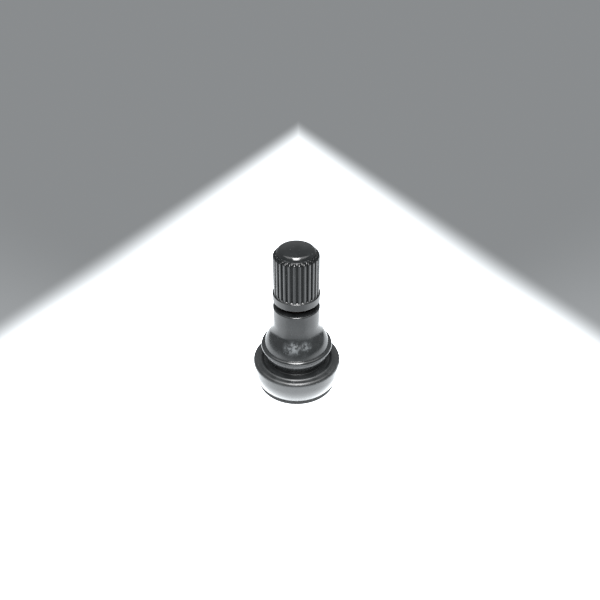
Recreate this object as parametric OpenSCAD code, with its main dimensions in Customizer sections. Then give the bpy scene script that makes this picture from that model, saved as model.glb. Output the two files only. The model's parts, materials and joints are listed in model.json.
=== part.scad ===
// Snap-in tyre valve: a rubber body moulded round a brass stem, with a spring-loaded
// valve core screwed into the stem and a ribbed cap screwed over it.
// Millimetres, +Z up along the stem. The origin is the middle of the base's underside.

/* [Rubber base] */
// Largest diameter of the base, at the sealing lip
lip_d = 19.4; // [18:0.1:24]
// Height of the base from its underside to the lip
base_h = 6.7; // [5.5:0.1:9]
// Height up to which the side bulges out
side_h = 4.5; // [3:0.1:4.7]
// Radius of the bulging side
side_round = 7.0; // [6:0.5:12]
// Edge radius of the sealing lip
lip_round = 0.7; // [0.3:0.05:0.75]
// Width of the flat ring outside the sealing bead
lip_w = 0.5; // [0.2:0.05:0.8]
// Width of the rounded sealing bead on the lip
bead_w = 0.8; // [0.5:0.05:1.2]
// Height of the bead above the lip
bead_h = 0.2; // [0.05:0.05:0.25]
// Depth of the dished ring between bead and groove
dish_depth = 0.3; // [0.1:0.05:0.8]
// Edge radius of the foot
foot_round = 0.6; // [0.2:0.05:1]
// Diameter of the air hole in the base
air_hole_d = 4.8; // [3:0.1:6]
// Length of the air hole, from the underside to the stem
air_hole_l = 9.2; // [7:0.1:10]
// Width of the chamfer at the mouth of the air hole
air_hole_chamfer = 0.8; // [0.2:0.1:1.5]

/* [Rubber bulb and neck] */
// Diameter of the groove that the wheel rim sits in
groove_d = 12.3; // [11:0.1:14]
// Height of the groove, from the lip to the bulb
groove_h = 3.25; // [2.5:0.05:5]
// Height of the upright flank under the rim
flank_h = 0.95; // [0.2:0.05:1.2]
// Radius over which the flank turns in to the groove
flank_round = 1.7; // [1.3:0.1:2.2]
// Fillet radius in the lower corner of the groove
groove_fillet = 0.3; // [0.1:0.05:0.6]
// Edge radius under the bulb's rim
rim_under = 0.45; // [0.1:0.05:0.45]
// Largest diameter of the bulb, at its rim
bulb_d = 15.6; // [14.6:0.1:17]
// Height of the rim from its underside to the ledge on top
bulb_rim_h = 1.0; // [1:0.05:1.6]
// Edge radius of the ledge
bulb_round = 0.5; // [0.2:0.05:0.55]
// Width of the ledge, from the rim in to the foot of the flare
ledge_w = 0.7; // [0.6:0.05:1.1]
// Lean of the flare from the upright at its foot, in degrees
crease_angle = 13.3; // [6:0.1:20]
// Largest lean of the flare from the upright, in degrees
flare_angle = 28; // [24:1:34]
// Radius over which the flare turns into the neck
flare_round = 5.6; // [3:0.1:7]
// Diameter of the neck
neck_d = 10.0; // [9:0.1:11]
// Length of the straight neck above the flare
neck_h = 3.45; // [2:0.05:8]
// Edge radius at the top of the neck
neck_round = 0.28; // [0.1:0.02:0.5]

/* [Brass stem] */
// Outside diameter of the cap thread
thread_d = 7.7; // [7.4:0.05:8.2]
// Height of the stem above the rubber
stem_above = 11.6; // [9:0.1:16]
// Length of the plain relief between rubber and thread
relief_l = 1.0; // [0.4:0.1:1.4]
// Chamfer at the tip of the stem and at the foot of the thread
thread_chamfer = 0.5; // [0.2:0.05:0.6]
// Diameter of the plain shank in the rubber
shank_d = 6.5; // [6.2:0.05:7.2]
// How far each grip ring stands proud of the shank
ring_depth = 0.3; // [0.1:0.05:0.6]
// Number of grip rings
ring_count = 5; // [2:1:7]
// Width of one grip ring at its root
ring_w = 0.8; // [0.4:0.05:1]
// Diameter of the flared foot of the stem
stem_foot_d = 8.4; // [7.6:0.1:9.4]
// Thickness of the flared foot
stem_foot_h = 0.9; // [0.5:0.05:1.5]
// Diameter of the core thread inside the stem
core_thread_d = 5.2; // [5:0.05:5.6]
// Chamfer at the mouth of the core thread
mouth_chamfer = 0.2; // [0.1:0.05:0.3]
// Flare at the lower end of the stem's bore
bore_flare = 0.3; // [0.1:0.05:0.6]

/* [Valve core] */
// Depth of the core's head below the tip of the stem
head_depth = 2.3; // [1.8:0.1:3]
// Height of the bridge on the head
bridge_h = 0.9; // [0.6:0.05:1.4]
// Width of the bridge across its flats
bridge_w = 2.2; // [1.8:0.05:2.8]
// Length of the threaded part of the head
plug_thread_l = 3.4; // [2.5:0.1:4.5]
// Length of the neck that the barrel swivels on
swivel_l = 0.8; // [0.7:0.05:1.2]
// Diameter of that neck
swivel_d = 2.6; // [2.5:0.05:2.8]
// Diameter of the flange at the end of the neck
swivel_flange_d = 3.2; // [3.1:0.05:3.4]
// Thickness of that flange
swivel_flange_h = 0.5; // [0.3:0.05:0.8]
// Diameter of the air way through the head
air_way_d = 1.9; // [1.7:0.05:2.1]
// Diameter of the open bore under the bridge
head_bore_d = 3.4; // [3:0.05:4]
// Depth of that bore
head_bore_l = 1.2; // [0.8:0.05:1.8]
// Wall of the barrel's collar round the swivel
collar_wall = 0.3; // [0.2:0.02:0.32]
// Diameter of the barrel below its collar
barrel_d = 3.3; // [3.2:0.05:3.5]
// Diameter of the spring chamber in the barrel
chamber_d = 2.5; // [2.4:0.02:2.6]
// Height of the cone-shaped seal round the barrel
barrel_seal_h = 1.1; // [0.7:0.05:1.6]
// Thickness of that seal at its upper, wider end
barrel_seal_t = 0.57; // [0.5:0.01:0.65]
// How much narrower the seal is at its lower end, in radius
barrel_seal_taper = 0.26; // [0.15:0.01:0.28]
// Depth of the groove that holds the seal on the barrel
barrel_seal_groove = 0.1; // [0.05:0.01:0.14]
// Height of the nose at the lower end of the barrel
nose_h = 1.0; // [0.6:0.05:1.6]
// Diameter of the air hole in the nose
nose_hole_d = 1.7; // [1.5:0.05:1.9]
// Width of the ring on the nose that the washer shuts against
nose_ring_w = 0.35; // [0.2:0.05:0.5]
// Diameter of the pin
pin_d = 1.2; // [1:0.05:1.3]
// Edge radius of the pin's tip
pin_round = 0.3; // [0.1:0.05:0.45]
// Depth of the pin's tip below the tip of the stem
pin_depth = 0.85; // [0.8:0.05:1.2]
// Diameter of the pin's collar
pin_collar_d = 2.3; // [2:0.05:2.36]
// Thickness of the pin's collar
pin_collar_h = 0.6; // [0.4:0.05:1]
// Diameter of the riveted foot of the pin
rivet_d = 1.8; // [1.5:0.05:2.2]
// Height of the riveted foot
rivet_h = 0.4; // [0.2:0.05:0.7]
// Room above the pin's collar in the chamber
collar_room = 1.2; // [0.9:0.1:2]
// Wire of the spring
spring_wire = 0.26; // [0.16:0.02:0.34]
// Length of the spring at rest
spring_l = 6.5; // [5:0.1:8]
// Turns of the spring
spring_turns = 9; // [6:1:11]
// Diameter of the cup on the pin
cup_d = 3.3; // [3:0.05:3.4]
// Wall and floor of the cup
cup_wall = 0.3; // [0.2:0.02:0.4]
// Thickness of the washer in the cup
cup_seal_h = 0.8; // [0.5:0.05:1.2]
// How far that washer stands above the cup
cup_seal_proud = 0.2; // [0.1:0.05:0.3]

/* [Cap] */
// Length of the cap's skirt below the tip of the stem
skirt_l = 10.0; // [7:0.1:10.4]
// Wall of the skirt at the foot of the ribs
cap_wall = 0.6; // [0.4:0.02:1]
// Height of the ribs above their roots
rib_depth = 0.28; // [0.15:0.01:0.4]
// Number of ribs
rib_count = 28; // [20:1:34]
// Width of one groove between the ribs
rib_gap = 0.46; // [0.3:0.01:0.6]
// Turn of the grooves about the axis, in degrees
rib_turn = 3; // [0:0.5:18]
// Chamfer at the mouth of the cap's bore
cap_chamfer = 0.25; // [0.1:0.05:0.4]
// How much the ribs narrow towards the top, in radius
cap_draft = 0.05; // [0:0.01:0.2]
// Height of the plain band at the mouth
band_h = 1.7; // [0.8:0.05:3]
// How far the band stands proud of the ribs
band_depth = 0.22; // [0.1:0.01:0.4]
// Edge radius of the band
band_round = 0.15; // [0.05:0.01:0.2]
// Thickness of the cap's shoulder above the thread
shoulder_t = 1.4; // [0.8:0.05:1.8]
// Radius of the shoulder's rounded edge
shoulder_drop = 0.35; // [0.2:0.05:0.5]
// Diameter of the raised crown
crown_d = 7.8; // [7.2:0.1:8.4]
// Upright edge of the crown above the shoulder
crown_edge_h = 0.12; // [0.05:0.01:0.4]
// Radius of the crown's edge
crown_round = 0.95; // [0.7:0.05:1.4]
// Slope at which the crown's edge meets its top, in degrees
crown_slope = 14; // [8:1:20]
// Diameter of the sealing washer
cap_seal_d = 6.1; // [5.8:0.05:6.3]
// Hole in the sealing washer
cap_seal_hole_d = 2.2; // [1.4:0.1:3.4]
// Thickness of the sealing washer
cap_seal_h = 0.95; // [0.6:0.05:1.2]

/* [Fits] */
// Radial clearance of screwed and sliding pieces
run_gap = 0.05; // [0.02:0.01:0.08]
// Axial clearance between faces that meet
face_gap = 0.03; // [0.01:0.01:0.05]
// Clearance of the barrel's seal over its seat
seat_gap = 0.03; // [0.01:0.01:0.05]
// Axial room under the core's head
head_room = 0.3; // [0.1:0.05:0.6]

/* [Hidden] */

// Faces round a turned piece and round one groove of the cap, and points along an arc of an outline
round_fn = 96;
groove_fn = 24;
arc_steps = 8;
// How far a cut runs past the face that it opens
cut_over = 1;

// Heights of the rubber body, from its underside up
bulb_z = base_h + groove_h;
crease_r = bulb_d / 2 - ledge_w;
crease_z = bulb_z + bulb_rim_h;
swell_round = (crease_r - neck_d / 2 - flare_round * (1 - cos(flare_angle)))
    / (cos(crease_angle) - cos(flare_angle));
flare_z = crease_z + swell_round * (sin(flare_angle) - sin(crease_angle)) + flare_round * sin(flare_angle);
body_z = flare_z + neck_h;

// Heights of the stem
tip_z = body_z + stem_above;
thread_z = body_z + relief_l;
stem_foot_z = air_hole_l;
bore_r = core_thread_d / 2;

// Heights of the core, from its head down
plug_z = tip_z - head_depth;
plug_thread_z = plug_z - bridge_h;
plug_foot_z = plug_thread_z - plug_thread_l;
swivel_z = plug_foot_z - swivel_l;
swivel_foot_z = swivel_z - swivel_flange_h;
collar_floor_z = swivel_foot_z - face_gap;
collar_r = swivel_flange_d / 2 + run_gap + collar_wall;
barrel_seal_z = collar_floor_z - collar_wall;
barrel_seal_foot_z = barrel_seal_z - barrel_seal_h;
barrel_seal_r = barrel_d / 2 - barrel_seal_groove + barrel_seal_t;
seat_r = barrel_seal_r - barrel_seal_taper + seat_gap;
pin_collar_z = barrel_seal_z - collar_room;
spring_z = pin_collar_z - pin_collar_h - spring_l;
nose_z = spring_z - nose_h;
cup_seal_z = nose_z - face_gap;
cup_floor_z = cup_seal_z - cup_seal_h;
cup_z = cup_floor_z - cup_wall;
pin_tip_z = tip_z - pin_depth;
spring_r = (chamber_d / 2 + pin_d / 2) / 2;

// Heights and radii of the cap
cap_z = tip_z - skirt_l;
cap_bore_r = thread_d / 2 + run_gap;
cap_bore_z = tip_z - thread_chamfer + face_gap;
rib_root_r = cap_bore_r + cap_wall;
rib_r = rib_root_r + rib_depth;
rib_top_r = rib_r - cap_draft;
band_r = rib_r + band_depth;
shoulder_z = cap_bore_z + shoulder_t;
cap_seal_z = tip_z + face_gap;
ceiling_z = cap_seal_z + cap_seal_h + face_gap;
recess_r = cap_seal_d / 2 + run_gap;

// Points of an arc about (r, z), from one angle to another
function arc(r, z, radius, from, to) =
    [for (i = [0 : arc_steps]) let (a = from + (to - from) * i / arc_steps)
        [r + radius * cos(a), z + radius * sin(a)]];

// A solid of revolution about Z from its half outline
module turned(outline) rotate_extrude($fn = round_fn) polygon(outline);

// A plain tube, or a disc with a hole, from z up
module ring(z, height, outer_d, inner_d) translate([0, 0, z]) difference() {
    cylinder(h = height, d = outer_d, $fn = round_fn);
    translate([0, 0, -cut_over]) cylinder(h = height + 2 * cut_over, d = inner_d, $fn = round_fn);
}

// An outline without its last point, for one that goes on from that point
function but_last(outline) = [for (i = [0 : len(outline) - 2]) outline[i]];

// Outline of the base: foot, bulging side, lip, sealing bead and dish
function base_outline() = let (
        lip_r = lip_d / 2,
        side_lean = asin((side_h - foot_round) / (side_round - foot_round)),
        foot_r = lip_r - side_round + (side_round - foot_round) * cos(side_lean),
        bead_r = lip_r - lip_round - lip_w - bead_w / 2,
        bead_round = (bead_w * bead_w / 4 + bead_h * bead_h) / (2 * bead_h),
        bead_angle = asin(bead_w / 2 / bead_round),
        dish_r = bead_r - bead_w / 2,
        wall_r = groove_d / 2) concat(
    [[0, 0]],
    but_last(arc(foot_r, foot_round, foot_round, -90, -side_lean)),
    arc(lip_r - side_round, side_h, side_round, -side_lean, 0),
    arc(lip_r - lip_round, base_h - lip_round, lip_round, 0, 90),
    arc(bead_r, base_h + bead_h - bead_round, bead_round, 90 - bead_angle, 90 + bead_angle),
    [[dish_r - dish_depth, base_h - dish_depth]],
    arc(wall_r + groove_fillet, base_h - dish_depth + groove_fillet, groove_fillet, 270, 180));

// Outline of the bulb and neck: flank of the groove, rim, ledge, flare, neck and its top
function bulb_outline() = let (
        wall_r = groove_d / 2,
        rim_r = bulb_d / 2,
        flank_r = rim_r - rim_under,
        flank_lean = acos(1 - (flank_r - wall_r) / flank_round),
        neck_r = neck_d / 2,
        swell_r = crease_r - swell_round * cos(crease_angle),
        swell_z = crease_z - swell_round * sin(crease_angle)) concat(
    arc(flank_r - flank_round, bulb_z - flank_h, flank_round, -flank_lean, 0),
    arc(flank_r, bulb_z + rim_under, rim_under, -90, 0),
    arc(rim_r - bulb_round, crease_z - bulb_round, bulb_round, 0, 90),
    but_last(arc(swell_r, swell_z, swell_round, crease_angle, flare_angle)),
    arc(neck_r + flare_round, flare_z, flare_round, 180 + flare_angle, 180),
    arc(neck_r - neck_round, body_z - neck_round, neck_round, 0, 90),
    [[0, body_z]]);

// One grip ring of the shank, as the points of its ridge from z up
function grip_ring(z) = [
    [shank_d / 2, z],
    [shank_d / 2 + ring_depth, z + ring_w / 3],
    [shank_d / 2 + ring_depth, z + 2 * ring_w / 3],
    [shank_d / 2, z + ring_w]];

// Outline of the stem from its foot to its tip
function stem_outline() = let (
        shank_z = stem_foot_z + stem_foot_h,
        ring_pitch = (body_z - shank_z) / (ring_count + 1),
        thread_r = thread_d / 2) concat(
    [[0, stem_foot_z],
     [stem_foot_d / 2, stem_foot_z],
     [stem_foot_d / 2, shank_z]],
    [for (i = [1 : ring_count]) each grip_ring(shank_z + i * ring_pitch - ring_w / 2)],
    [[shank_d / 2, thread_z],
     [thread_r, thread_z + thread_chamfer],
     [thread_r, tip_z - thread_chamfer],
     [thread_r - thread_chamfer, tip_z],
     [0, tip_z]]);

// The rubber is moulded on the stem, so its hollow is the stem's own outline
module rubber_body() color("#2c2f31") difference() {
    turned(concat(base_outline(), bulb_outline()));
    turned(stem_outline());
    translate([0, 0, -cut_over]) cylinder(h = stem_foot_z + 2 * cut_over, d = air_hole_d, $fn = round_fn);
    translate([0, 0, -air_hole_chamfer]) cylinder(h = 2 * air_hole_chamfer,
        d1 = air_hole_d + 4 * air_hole_chamfer, d2 = air_hole_d, $fn = round_fn);
}

// The bore steps down from the core thread to the cone that the core's seal sits on
module brass_stem() color("#b8923f") {
    step_z = plug_foot_z - head_room;
    seat_top_z = barrel_seal_foot_z + (bore_r - seat_r) * barrel_seal_h / barrel_seal_taper;
    cone_top_z = min(seat_top_z, step_z - run_gap);
    cone_top_r = seat_r + (cone_top_z - barrel_seal_foot_z) * barrel_seal_taper / barrel_seal_h;
    difference() {
        turned(stem_outline());
        turned([
            [0, stem_foot_z - cut_over],
            [seat_r + bore_flare, stem_foot_z - cut_over],
            [seat_r + bore_flare, stem_foot_z],
            [seat_r, stem_foot_z + 2 * bore_flare],
            [seat_r, barrel_seal_foot_z],
            [cone_top_r, cone_top_z],
            [bore_r, step_z],
            [bore_r, tip_z - mouth_chamfer],
            [bore_r + mouth_chamfer, tip_z],
            [bore_r + mouth_chamfer, tip_z + cut_over],
            [0, tip_z + cut_over]]);
    }
}

// Threaded head: a ring under a two-sided bridge, with the flanged neck of the swivel.
// The bore under the bridge is wider than the bridge, so the air leaves on both sides of it.
module core_plug() color("#c8a951") {
    plug_r = bore_r - run_gap;
    bridge_foot_z = plug_thread_z - mouth_chamfer;
    difference() {
        union() {
            difference() {
                turned([
                    [0, swivel_foot_z],
                    [swivel_flange_d / 2, swivel_foot_z],
                    [swivel_flange_d / 2, swivel_z],
                    [swivel_d / 2, swivel_z],
                    [swivel_d / 2, plug_foot_z],
                    [plug_r - mouth_chamfer, plug_foot_z],
                    [plug_r, plug_foot_z + mouth_chamfer],
                    [plug_r, bridge_foot_z],
                    [plug_r - mouth_chamfer, plug_thread_z],
                    [0, plug_thread_z]]);
                translate([0, 0, plug_thread_z - head_bore_l])
                    cylinder(h = head_bore_l + cut_over, d = head_bore_d, $fn = round_fn);
            }
            intersection() {
                cylinder(h = plug_z, r = plug_r - mouth_chamfer, $fn = round_fn);
                translate([-plug_r, -bridge_w / 2, bridge_foot_z])
                    cube([2 * plug_r, bridge_w, bridge_h + mouth_chamfer]);
            }
        }
        translate([0, 0, swivel_foot_z - cut_over])
            cylinder(h = bridge_foot_z - swivel_foot_z + cut_over, d = air_way_d, $fn = round_fn);
        cylinder(h = plug_z + cut_over, r = pin_d / 2 + run_gap, $fn = round_fn);
    }
}

// Barrel: a rolled collar round the swivel, the seal's groove, the spring chamber and the nose
module core_barrel() color("#c2a04a") {
    cavity_r = swivel_flange_d / 2 + run_gap;
    lip_r = swivel_d / 2 + run_gap;
    lip_z = swivel_z + face_gap;
    difference() {
        turned([
            [0, nose_z],
            [nose_hole_d / 2 + nose_ring_w, nose_z],
            [barrel_d / 2, nose_z + nose_h / 2],
            [barrel_d / 2, barrel_seal_foot_z],
            [barrel_d / 2 - barrel_seal_groove, barrel_seal_foot_z],
            [barrel_d / 2 - barrel_seal_groove, barrel_seal_z],
            [collar_r, barrel_seal_z],
            [collar_r, lip_z],
            [lip_r + collar_wall / 2, lip_z + collar_wall],
            [0, lip_z + collar_wall]]);
        turned([
            [0, nose_z - cut_over],
            [nose_hole_d / 2, nose_z - cut_over],
            [nose_hole_d / 2, spring_z],
            [chamber_d / 2, spring_z],
            [chamber_d / 2, barrel_seal_z],
            [air_way_d / 2, barrel_seal_z],
            [air_way_d / 2, collar_floor_z],
            [cavity_r, collar_floor_z],
            [cavity_r, lip_z],
            [lip_r, lip_z],
            [lip_r, lip_z + collar_wall + cut_over],
            [0, lip_z + collar_wall + cut_over]]);
    }
}

module barrel_seal() color("#d9d4c4") {
    inner_r = barrel_d / 2 - barrel_seal_groove;
    turned([
        [inner_r, barrel_seal_foot_z],
        [barrel_seal_r - barrel_seal_taper, barrel_seal_foot_z],
        [barrel_seal_r, barrel_seal_z],
        [inner_r, barrel_seal_z]]);
}

// Pin from its riveted foot under the cup to its rounded tip
module core_pin() color("#b9bcc0") turned(concat(
    [[0, cup_z - rivet_h],
     [rivet_d / 2, cup_z - rivet_h],
     [rivet_d / 2, cup_z],
     [pin_d / 2, cup_z],
     [pin_d / 2, pin_collar_z - pin_collar_h],
     [pin_collar_d / 2, pin_collar_z - pin_collar_h],
     [pin_collar_d / 2, pin_collar_z],
     [pin_d / 2, pin_collar_z]],
    arc(pin_d / 2 - pin_round, pin_tip_z - pin_round, pin_round, 0, 90),
    [[0, pin_tip_z]]));

// The spring's wire, swept along a helix from the chamber's floor to the pin's collar
module core_spring() {
    sides = 8;
    steps_per_turn = 20;
    steps = spring_turns * steps_per_turn;
    rise = spring_l - spring_wire - 2 * face_gap;
    start_z = spring_z + face_gap + spring_wire / 2;
    function wire_point(i, k) = let (
        turn = 360 * i / steps_per_turn,
        side = 360 * k / sides,
        r = spring_r + spring_wire / 2 * cos(side))
        [r * cos(turn), r * sin(turn), start_z + rise * i / steps + spring_wire / 2 * sin(side)];
    points = [for (i = [0 : steps], k = [0 : sides - 1]) wire_point(i, k)];
    walls = [for (i = [0 : steps - 1], k = [0 : sides - 1])
        let (a = i * sides + k, b = i * sides + (k + 1) % sides) [a, a + sides, b + sides, b]];
    ends = [[for (k = [0 : sides - 1]) k],
            [for (k = [sides - 1 : -1 : 0]) steps * sides + k]];
    color("#8f9499") polyhedron(points, concat(walls, ends), convexity = 10);
}

module seal_cup() color("#c9b36b") turned([
    [pin_d / 2, cup_z],
    [cup_d / 2 - cup_wall, cup_z],
    [cup_d / 2, cup_z + cup_wall],
    [cup_d / 2, cup_seal_z - cup_seal_proud],
    [cup_d / 2 - cup_wall, cup_seal_z - cup_seal_proud],
    [cup_d / 2 - cup_wall, cup_floor_z],
    [pin_d / 2, cup_floor_z]]);

module cup_seal() color("#33312f")
    ring(cup_floor_z, cup_seal_h, cup_d - 2 * cup_wall, pin_d);

// Outline of the cap: mouth, band, ribs, shoulder and crown
function cap_outline() = let (
        band_edge = min(band_round, band_depth),
        crown_r = crown_d / 2,
        crown_z = shoulder_z + crown_edge_h,
        top_angle = 90 - crown_slope,
        top_r = crown_r - crown_round + crown_round * cos(top_angle),
        dome_r = top_r / cos(top_angle),
        dome_z = crown_z + crown_round * sin(top_angle) - dome_r * sin(top_angle)) concat(
    [[0, cap_z]],
    arc(band_r - band_round, cap_z + band_round, band_round, -90, 0),
    arc(band_r - band_edge, cap_z + band_h - band_edge, band_edge, 0, 90),
    [[rib_r, cap_z + band_h]],
    arc(rib_top_r - shoulder_drop, shoulder_z - shoulder_drop, shoulder_drop, 0, 90),
    [[crown_r, shoulder_z]],
    arc(crown_r - crown_round, crown_z, crown_round, 0, top_angle),
    arc(0, dome_z, dome_r, top_angle, 90));

// The cap's grooves run from the band out through the shoulder
module cap() color("#303234") {
    gap_r = rib_gap / 2;
    difference() {
        turned(cap_outline());
        turned([
            [0, cap_z - cut_over],
            [cap_bore_r + cap_chamfer, cap_z - cut_over],
            [cap_bore_r + cap_chamfer, cap_z],
            [cap_bore_r, cap_z + cap_chamfer],
            [cap_bore_r, cap_bore_z],
            [recess_r, cap_bore_z + cap_bore_r - recess_r],
            [recess_r, ceiling_z],
            [0, ceiling_z]]);
        for (i = [0 : rib_count - 1]) rotate(rib_turn - 90 + i * 360 / rib_count)
            translate([rib_root_r + gap_r, 0, cap_z + band_h])
                cylinder(h = skirt_l + shoulder_t, r = gap_r, $fn = groove_fn);
    }
}

module cap_seal() color("#3a3a38")
    ring(cap_seal_z, cap_seal_h, cap_seal_d, cap_seal_hole_d);

rubber_body();
brass_stem();
core_plug();
core_barrel();
barrel_seal();
core_pin();
core_spring();
seal_cup();
cup_seal();
cap();
cap_seal();
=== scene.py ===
"""Looks of a snap-in tyre valve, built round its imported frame: rubber body, brass stem, core and cap."""

import json
import math

import bmesh
import bpy
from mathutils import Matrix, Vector


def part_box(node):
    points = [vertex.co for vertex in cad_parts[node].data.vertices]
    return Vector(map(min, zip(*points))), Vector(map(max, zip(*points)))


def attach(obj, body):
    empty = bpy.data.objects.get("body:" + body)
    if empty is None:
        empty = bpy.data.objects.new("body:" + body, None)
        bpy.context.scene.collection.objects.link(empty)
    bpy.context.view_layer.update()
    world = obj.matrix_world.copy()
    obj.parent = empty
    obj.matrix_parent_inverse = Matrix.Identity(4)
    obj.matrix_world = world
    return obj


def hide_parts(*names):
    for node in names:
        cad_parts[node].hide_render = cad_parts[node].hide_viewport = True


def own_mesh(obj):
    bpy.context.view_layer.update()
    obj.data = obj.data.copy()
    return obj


bl_info = {
    "name": "Tyre valve",
    "version": (1, 0, 0),
    "blender": (4, 5, 0),
    "location": "View3D > Sidebar > Tyre valve",
    "description": "Dresses a snap-in tyre valve: rubber body, brass stem, valve core and ribbed cap",
    "category": "Object",
}

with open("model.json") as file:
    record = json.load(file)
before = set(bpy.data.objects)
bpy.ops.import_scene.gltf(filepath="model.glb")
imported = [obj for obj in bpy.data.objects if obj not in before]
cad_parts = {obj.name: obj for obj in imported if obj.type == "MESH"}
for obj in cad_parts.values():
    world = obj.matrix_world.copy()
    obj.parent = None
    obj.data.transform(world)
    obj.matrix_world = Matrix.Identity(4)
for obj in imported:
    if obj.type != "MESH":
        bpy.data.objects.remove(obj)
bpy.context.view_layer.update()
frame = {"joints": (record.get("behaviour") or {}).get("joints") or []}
MM = 0.001
FULL_TURN = 2 * math.pi


def heights(node):
    """Lowest and highest point of a frame node, in metres above the underside of the base."""
    return [corner.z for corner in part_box(node)]


def widest(node):
    """Widest radius of a frame node about the axis."""
    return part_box(node)[1].x


# Heights and widest radii read from the frame
BODY_TOP = heights("rubber_body")[1]
STEM_FOOT, STEM_TIP = heights("brass_stem")
PLUG_FOOT, PLUG_TOP = heights("core_plug")
BARREL_FOOT, BARREL_TOP = heights("core_barrel")
BARREL_SEAL_FOOT, BARREL_SEAL_TOP = heights("barrel_seal")
PIN_FOOT, PIN_TIP = heights("core_pin")
SPRING_FOOT, SPRING_TOP = heights("core_spring")
CUP_FOOT, CUP_TOP = heights("seal_cup")
CUP_SEAL_FOOT, CUP_SEAL_TOP = heights("cup_seal")
CAP_MOUTH, CAP_TOP = heights("cap")
CAP_SEAL_FOOT, CAP_SEAL_TOP = heights("cap_seal")
LIP_RADIUS = widest("rubber_body")
STEM_FOOT_RADIUS = widest("brass_stem")
PLUG_RADIUS = widest("core_plug")
COLLAR_RADIUS = widest("core_barrel")
BARREL_SEAL_RADIUS = widest("barrel_seal")
PIN_COLLAR_RADIUS = widest("core_pin")
CUP_RADIUS = widest("seal_cup")
CUP_SEAL_RADIUS = widest("cup_seal")
BAND_RADIUS = widest("cap")
CAP_SEAL_RADIUS = widest("cap_seal")

# Roundings of small edges, from sharp to blunt
RAZOR = 0.03 * MM
CRISP = 0.05 * MM
KEEN = 0.06 * MM
EASED = 0.08 * MM
SOFT = 0.1 * MM
BLUNT = 0.12 * MM

# Gap at which pieces of different bodies meet
TOUCH = 0.03 * MM

# Points round a turned piece, longest stretch of its outline, and angle from which an edge is sharp
ROUND_BODY = 192
ROUND_THREAD = 96
ROUND_CORE = 72
ROUND_PIN = 64
STRETCH_BODY = 0.4 * MM
STRETCH_CAP = 0.14 * MM
STRETCH_STEM = 0.08 * MM
STRETCH_HEAD = 0.07 * MM
SHARP = math.radians(35)

# Largest share of a straight stretch that the rounding of one of its corners takes up
CORNER_SHARE = 0.49

# Threads: shares of half a pitch between which the flank lies, and the tolerance on the wall's radius
FLANK = (0.14, 0.86)
WALL_TOLERANCE = 0.01 * MM

# Grip grooves: height over which they deepen, how far they run past the shoulder, gap to the crown
GROOVE_RUN_IN = 0.22 * MM
GROOVE_END = 0.005 * MM
GROOVE_STOP = 0.15 * MM

# Spring: points of one coil, and points round its wire
COIL_POINTS = 40
WIRE_POINTS = 14

# The nick in the lip's edge, on the right
NICK_ANGLE = math.radians(-18)
NICK_HEIGHT = 6.4 * MM
NICK_REACH = 0.45 * MM
NICK_DEPTH = 0.16 * MM

# Smudges on the flare: middle, stretch, scale of their noise, and the limits that it is cut at
SMUDGES = (
    ((-0.0008, -0.0062, 0.0136), (360.0, 360.0, 520.0), 1500.0, 0.36, 0.7),
    ((0.0022, -0.0061, 0.0139), (480.0, 480.0, 640.0), 1600.0, 0.38, 0.72))
SMUDGE_STRENGTH = 0.55

# Roughness where a finish is clean and where it is worn, and what dust adds to it
RUBBER_ROUGH = (0.15, 0.23)
PLASTIC_ROUGH = (0.14, 0.22)
BRASS_ROUGH = (0.22, 0.55)
STEEL_ROUGH = (0.24, 0.42)
WASHER_ROUGH = (0.5, 0.7)
SEAL_ROUGH = (0.35, 0.5)
RUBBER_DUST_ROUGH = 0.8
PLASTIC_DUST_ROUGH = 0.6

# Added roughness of the lip: two distances from its height, and what is added at each
LIP_DULL = (0.5 * MM, 1.0 * MM, 0.2, 0.0)

# Painted shade in the cap's grooves, as less shine: distances from the crown and above the roots, shine
# outside and inside them
GROOVE_SHADE_START = 0.2 * MM
GROOVE_SHADE_FULL = 0.35 * MM
GROOVE_SHADE_DEPTH = 0.24 * MM
GROOVE_SHADE_SHINE = (0.5, 0.16)

# Bending of light in rubber and plastic, depth of moulding grain and of turning marks
RUBBER_IOR = 1.52
PLASTIC_IOR = 1.56
GRAIN_DEPTH = 0.03 * MM
MARK_DEPTH = 0.02 * MM

# How much of the dull film lies on the stem and on the core, and how dark it makes steel
STEM_FILM = 0.8
CORE_FILM = 0.35
STEEL_DULL = 0.55

# Floor: cosines from straight ahead between which its light changes; radius; colours of floor and sky
FRONT_FAN = (0.4, 0.9)
BACK_FAN = (-0.7, -0.2)
FLOOR_RADIUS = 3.0
FLOOR_COLOUR = (0.96, 1.0, 1.03, 1.0)
SKY_COLOUR = (0.97, 0.99, 1.0, 1.0)


def size(label, words, millimetres):
    """A length property of a piece, given in millimetres."""
    return bpy.props.FloatProperty(
        name=label, description=words, default=millimetres * MM, min=0.0, precision=5, unit="LENGTH")


def slant(label, words, degrees):
    """An angle property, given in degrees."""
    return bpy.props.FloatProperty(
        name=label, description=words, default=math.radians(degrees), subtype="ANGLE")


def amount(label, words, value, least=0.0):
    """A plain number property."""
    return bpy.props.FloatProperty(name=label, description=words, default=value, min=least)


def number(label, words, value, least):
    """A property that counts something."""
    return bpy.props.IntProperty(name=label, description=words, default=value, min=least)


def tint(label, words, colour):
    """A colour property of a finish, in linear light."""
    return bpy.props.FloatVectorProperty(
        name=label, description=words, default=colour, size=3, min=0.0, max=1.0, subtype="COLOR")


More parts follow.
